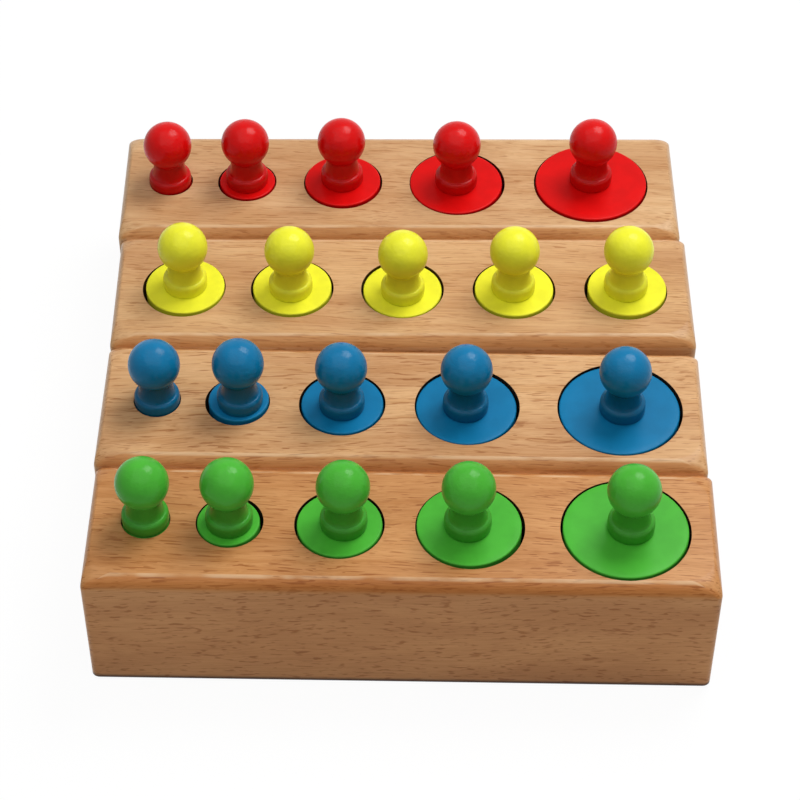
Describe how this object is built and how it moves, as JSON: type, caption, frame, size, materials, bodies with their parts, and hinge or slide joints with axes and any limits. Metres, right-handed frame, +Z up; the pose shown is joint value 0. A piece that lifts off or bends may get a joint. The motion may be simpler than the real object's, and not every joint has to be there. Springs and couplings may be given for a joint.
{
  "type": "knobbed cylinder block set",
  "caption": "Beech blocks side by side, each with a row of round sockets that hold loose painted cylinders, lifted out by turned ball knobs to be sorted by width and height.",
  "frame": {"origin": "on the table under the middle of the set's bounding box", "axes": "+Z up, +X along the blocks from the thinnest cylinders to the thickest, +Y from the green block at the front to the red block at the back"},
  "size_m": [0.1838, 0.1954, 0.0687],
  "materials": {
    "beech": "smooth sanded beech under a thin clear satin coat, grain along the block",
    "green_paint": "satin green paint on turned wood",
    "blue_paint": "satin blue paint on turned wood",
    "yellow_paint": "satin yellow paint on turned wood",
    "red_paint": "satin red paint on turned wood"
  },
  "bodies": {
    "green_block": {"green_block": "beech"},
    "green_piece_1": {"green_cylinder_1": "green_paint", "green_knob_1": "green_paint"},
    "green_piece_2": {"green_cylinder_2": "green_paint", "green_knob_2": "green_paint"},
    "green_piece_3": {"green_cylinder_3": "green_paint", "green_knob_3": "green_paint"},
    "green_piece_4": {"green_cylinder_4": "green_paint", "green_knob_4": "green_paint"},
    "green_piece_5": {"green_cylinder_5": "green_paint", "green_knob_5": "green_paint"},
    "blue_block": {"blue_block": "beech"},
    "blue_piece_1": {"blue_cylinder_1": "blue_paint", "blue_knob_1": "blue_paint"},
    "blue_piece_2": {"blue_cylinder_2": "blue_paint", "blue_knob_2": "blue_paint"},
    "blue_piece_3": {"blue_cylinder_3": "blue_paint", "blue_knob_3": "blue_paint"},
    "blue_piece_4": {"blue_cylinder_4": "blue_paint", "blue_knob_4": "blue_paint"},
    "blue_piece_5": {"blue_cylinder_5": "blue_paint", "blue_knob_5": "blue_paint"},
    "yellow_block": {"yellow_block": "beech"},
    "yellow_piece_1": {"yellow_cylinder_1": "yellow_paint", "yellow_knob_1": "yellow_paint"},
    "yellow_piece_2": {"yellow_cylinder_2": "yellow_paint", "yellow_knob_2": "yellow_paint"},
    "yellow_piece_3": {"yellow_cylinder_3": "yellow_paint", "yellow_knob_3": "yellow_paint"},
    "yellow_piece_4": {"yellow_cylinder_4": "yellow_paint", "yellow_knob_4": "yellow_paint"},
    "yellow_piece_5": {"yellow_cylinder_5": "yellow_paint", "yellow_knob_5": "yellow_paint"},
    "red_block": {"red_block": "beech"},
    "red_piece_1": {"red_cylinder_1": "red_paint", "red_knob_1": "red_paint"},
    "red_piece_2": {"red_cylinder_2": "red_paint", "red_knob_2": "red_paint"},
    "red_piece_3": {"red_cylinder_3": "red_paint", "red_knob_3": "red_paint"},
    "red_piece_4": {"red_cylinder_4": "red_paint", "red_knob_4": "red_paint"},
    "red_piece_5": {"red_cylinder_5": "red_paint", "red_knob_5": "red_paint"}
  },
  "joints": [
    {"name": "green_lift_1", "type": "slide", "parent": "green_block", "child": "green_piece_1", "axis": [0, 0, 1], "range_m": [0, 0.045]},
    {"name": "green_lift_2", "type": "slide", "parent": "green_block", "child": "green_piece_2", "axis": [0, 0, 1], "range_m": [0, 0.0387]},
    {"name": "green_lift_3", "type": "slide", "parent": "green_block", "child": "green_piece_3", "axis": [0, 0, 1], "range_m": [0, 0.0325]},
    {"name": "green_lift_4", "type": "slide", "parent": "green_block", "child": "green_piece_4", "axis": [0, 0, 1], "range_m": [0, 0.0262]},
    {"name": "green_lift_5", "type": "slide", "parent": "green_block", "child": "green_piece_5", "axis": [0, 0, 1], "range_m": [0, 0.02]},
    {"name": "blue_block_apart", "type": "slide", "parent": "green_block", "child": "blue_block", "axis": [0, 1, 0], "range_m": [0, 0.06]},
    {"name": "blue_lift_1", "type": "slide", "parent": "blue_block", "child": "blue_piece_1", "axis": [0, 0, 1], "range_m": [0, 0.02]},
    {"name": "blue_lift_2", "type": "slide", "parent": "blue_block", "child": "blue_piece_2", "axis": [0, 0, 1], "range_m": [0, 0.0262]},
    {"name": "blue_lift_3", "type": "slide", "parent": "blue_block", "child": "blue_piece_3", "axis": [0, 0, 1], "range_m": [0, 0.0325]},
    {"name": "blue_lift_4", "type": "slide", "parent": "blue_block", "child": "blue_piece_4", "axis": [0, 0, 1], "range_m": [0, 0.0387]},
    {"name": "blue_lift_5", "type": "slide", "parent": "blue_block", "child": "blue_piece_5", "axis": [0, 0, 1], "range_m": [0, 0.045]},
    {"name": "yellow_block_apart", "type": "slide", "parent": "blue_block", "child": "yellow_block", "axis": [0, 1, 0], "range_m": [0, 0.06]},
    {"name": "yellow_lift_1", "type": "slide", "parent": "yellow_block", "child": "yellow_piece_1", "axis": [0, 0, 1], "range_m": [0, 0.02]},
    {"name": "yellow_lift_2", "type": "slide", "parent": "yellow_block", "child": "yellow_piece_2", "axis": [0, 0, 1], "range_m": [0, 0.0262]},
    {"name": "yellow_lift_3", "type": "slide", "parent": "yellow_block", "child": "yellow_piece_3", "axis": [0, 0, 1], "range_m": [0, 0.0325]},
    {"name": "yellow_lift_4", "type": "slide", "parent": "yellow_block", "child": "yellow_piece_4", "axis": [0, 0, 1], "range_m": [0, 0.0387]},
    {"name": "yellow_lift_5", "type": "slide", "parent": "yellow_block", "child": "yellow_piece_5", "axis": [0, 0, 1], "range_m": [0, 0.045]},
    {"name": "red_block_apart", "type": "slide", "parent": "yellow_block", "child": "red_block", "axis": [0, 1, 0], "range_m": [0, 0.06]},
    {"name": "red_lift_1", "type": "slide", "parent": "red_block", "child": "red_piece_1", "axis": [0, 0, 1], "range_m": [0, 0.045]},
    {"name": "red_lift_2", "type": "slide", "parent": "red_block", "child": "red_piece_2", "axis": [0, 0, 1], "range_m": [0, 0.045]},
    {"name": "red_lift_3", "type": "slide", "parent": "red_block", "child": "red_piece_3", "axis": [0, 0, 1], "range_m": [0, 0.045]},
    {"name": "red_lift_4", "type": "slide", "parent": "red_block", "child": "red_piece_4", "axis": [0, 0, 1], "range_m": [0, 0.045]},
    {"name": "red_lift_5", "type": "slide", "parent": "red_block", "child": "red_piece_5", "axis": [0, 0, 1], "range_m": [0, 0.045]}
  ]
}
